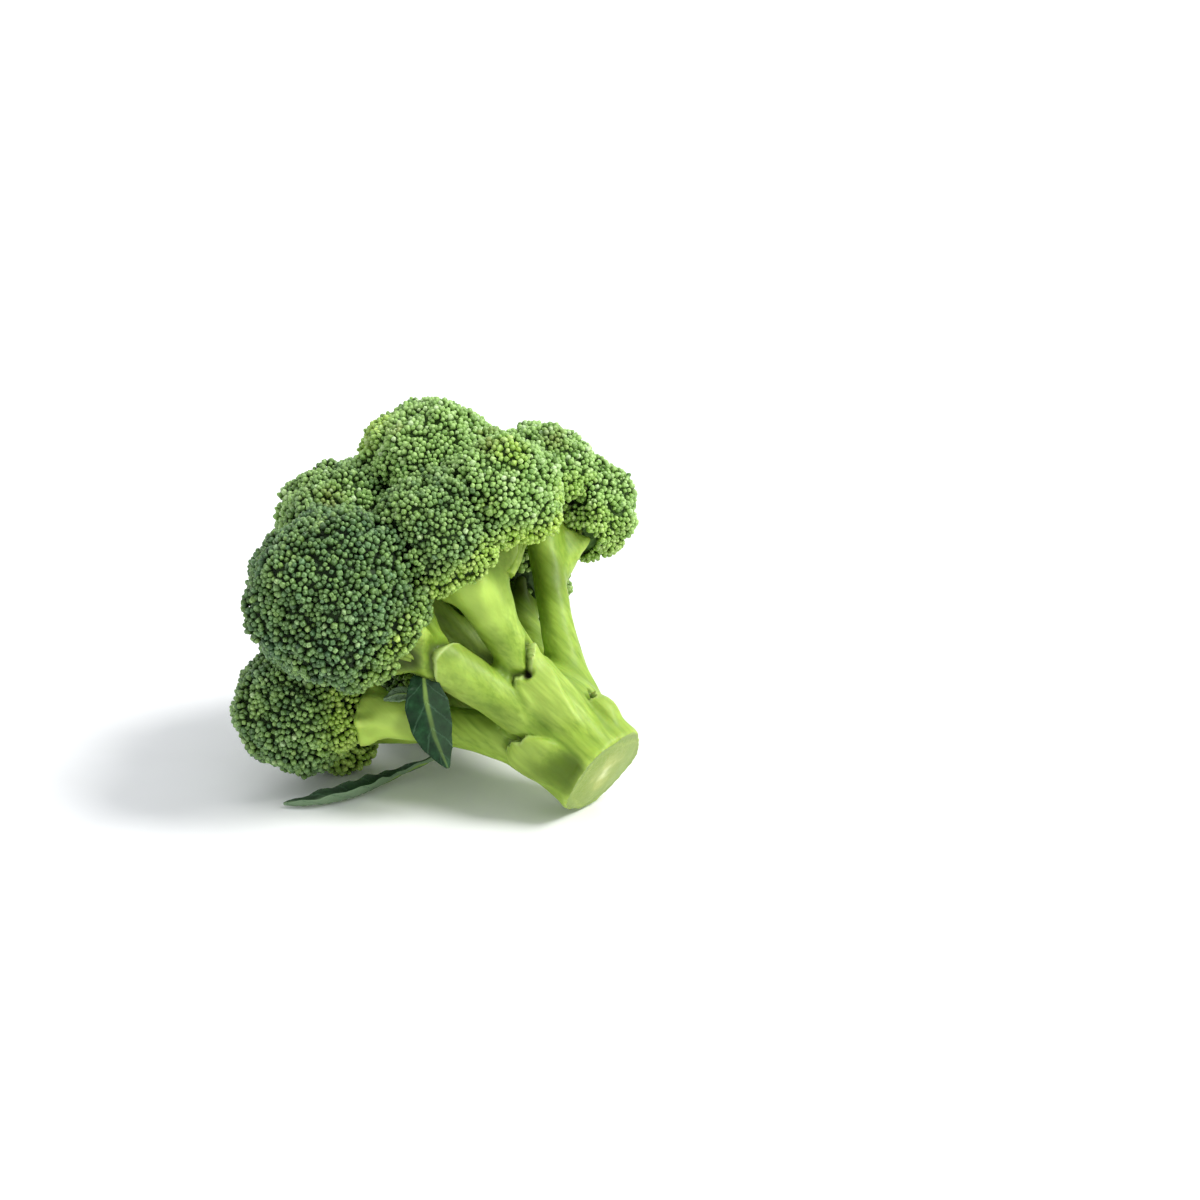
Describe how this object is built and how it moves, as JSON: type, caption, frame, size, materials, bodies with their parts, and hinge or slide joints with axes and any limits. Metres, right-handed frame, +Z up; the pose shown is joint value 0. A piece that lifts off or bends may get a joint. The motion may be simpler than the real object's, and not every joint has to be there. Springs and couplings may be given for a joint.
{
  "type": "broccoli head",
  "caption": "Cut head of broccoli lying on its side: a thick branched pale green stalk, a crown of dense dark green bud domes and small ruffled leaves.",
  "frame": {"origin": "on the surface it lies on, under the middle of its bounding box", "axes": "+Z up from the surface; the crown is towards -X and the cut end of the stalk towards +X; -Y is the side seen from the front"},
  "size_m": [0.1386, 0.1566, 0.1294],
  "materials": {
    "stalk": "smooth, faintly waxy pale green skin, paler on the cut end",
    "florets": "dense rough flower buds, dark green with yellow-green rims",
    "leaf": "waxy blue-green leaf blade with a pale midrib"
  },
  "bodies": {
    "root": {"stalk": "stalk", "floret_01": "florets", "floret_02": "florets", "floret_03": "florets", "floret_04": "florets", "floret_05": "florets", "floret_06": "florets", "floret_07": "florets", "floret_08": "florets", "floret_09": "florets", "floret_10": "florets", "floret_11": "florets", "floret_12": "florets", "floret_13": "florets", "floret_14": "florets", "floret_15": "florets", "leaf_1": "leaf", "leaf_2": "leaf", "leaf_3": "leaf"}
  },
  "joints": []
}
